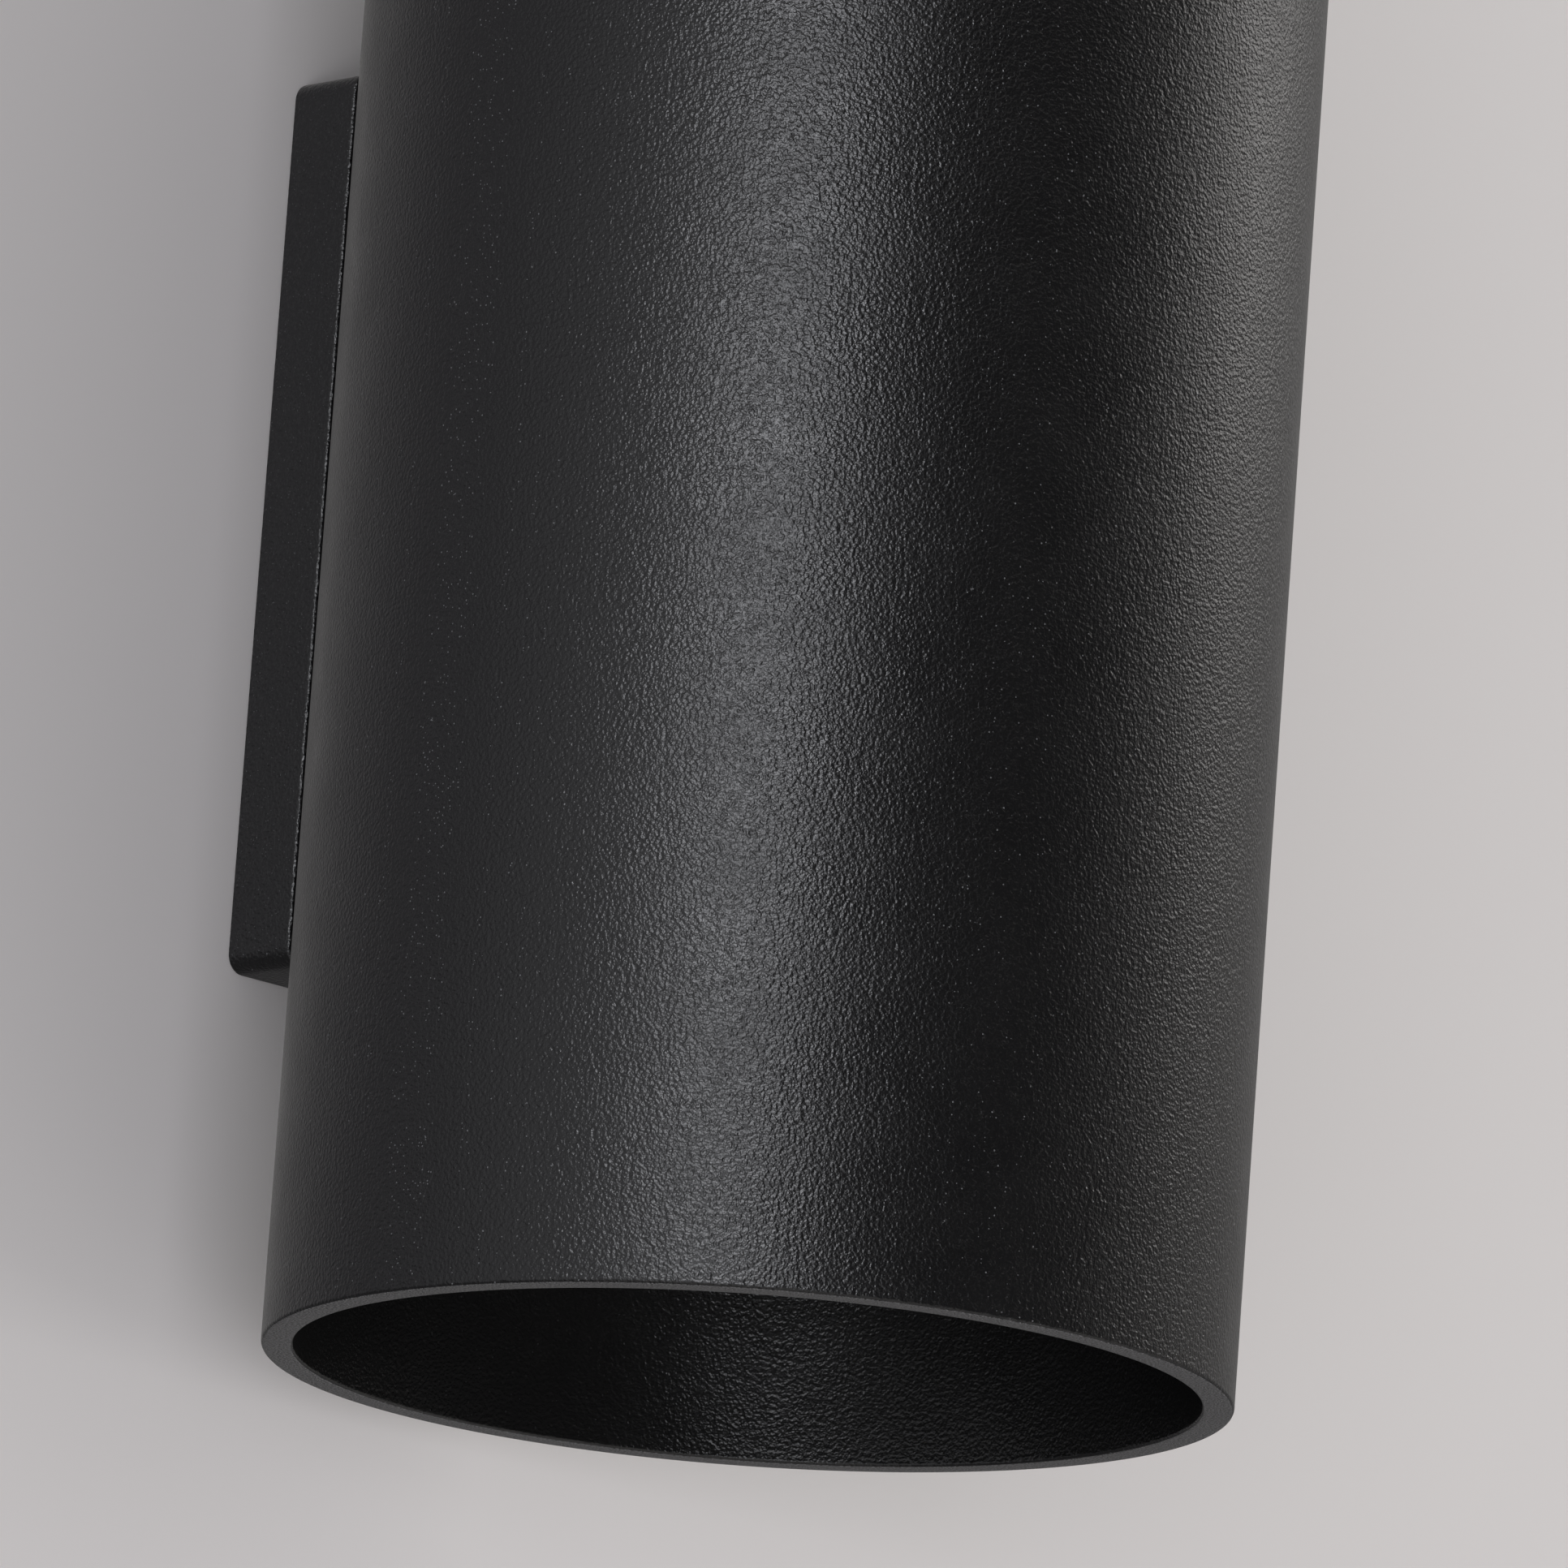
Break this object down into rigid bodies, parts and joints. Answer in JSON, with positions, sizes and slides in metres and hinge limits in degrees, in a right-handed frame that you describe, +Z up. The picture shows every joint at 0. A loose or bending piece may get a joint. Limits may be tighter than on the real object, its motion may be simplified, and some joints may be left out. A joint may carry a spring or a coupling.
{
  "type": "tube wall light",
  "caption": "Round open tube on a slim rectangular wall block, black, throwing light up and down from recessed twist-lock lamps.",
  "frame": {"origin": "centre of the mounting block's back, on the wall plane, midway between the two wall screw slots", "axes": "+Y into the wall, +Z up, +X to the right for someone facing the wall; the light stands out towards -Y"},
  "size_m": [0.1, 0.1086, 0.184],
  "materials": {
    "sand_black_tube": "black powder coat with a fine sand texture",
    "sand_black_block": "black powder coat with a fine sand texture",
    "matt_black_baffle": "matt black",
    "zinc_plate": "bright zinc plate",
    "zinc_steel": "bright zinc plate",
    "black_steel": "black oxide",
    "black_rubber": "matt",
    "natural_nylon": "moulded, satin",
    "brass": "turned",
    "ceramic": "unglazed white steatite",
    "lead_sleeve": "woven glass sleeve",
    "lamp_plastic": "moulded, matt",
    "nickel_pin": "nickel plate",
    "lamp_metal": "painted, satin",
    "clear_lens": "clear, moulded"
  },
  "bodies": {
    "fixture": {"tube_body": "sand_black_tube", "mounting_block": "sand_black_block", "wall_plate": "zinc_plate", "block_grub_screws": "black_steel", "clamp_screws": "zinc_steel", "clamp_nuts": "zinc_steel", "cable_grommet": "black_rubber", "terminal_block": "natural_nylon", "terminal_sleeves": "brass", "terminal_screws": "zinc_steel", "terminal_block_screws": "zinc_steel", "earth_screw": "brass", "earth_washer": "brass", "holder_screws": "zinc_steel", "shelf_nuts": "zinc_steel", "upper_lamp_bracket": "zinc_plate", "upper_lamp_holder": "ceramic", "upper_holder_contacts": "brass", "upper_lamp_leads": "lead_sleeve", "upper_baffle": "matt_black_baffle", "lower_lamp_bracket": "zinc_plate", "lower_lamp_holder": "ceramic", "lower_holder_contacts": "brass", "lower_lamp_leads": "lead_sleeve", "lower_baffle": "matt_black_baffle"},
    "upper_lamp": {"upper_lamp_base": "lamp_plastic", "upper_lamp_pins": "nickel_pin", "upper_lamp_housing": "lamp_metal", "upper_lamp_lens": "clear_lens"},
    "lower_lamp": {"lower_lamp_base": "lamp_plastic", "lower_lamp_pins": "nickel_pin", "lower_lamp_housing": "lamp_metal", "lower_lamp_lens": "clear_lens"}
  },
  "joints": [
    {"name": "upper_lamp_twist", "type": "hinge", "parent": "fixture", "child": "upper_lamp", "pos_m": [0, -0.05865, 0.045], "axis": [0, 0, 1], "range_deg": [0, 20]},
    {"name": "lower_lamp_twist", "type": "hinge", "parent": "fixture", "child": "lower_lamp", "pos_m": [0, -0.05865, -0.045], "axis": [0, 0, -1], "range_deg": [0, 20]}
  ]
}
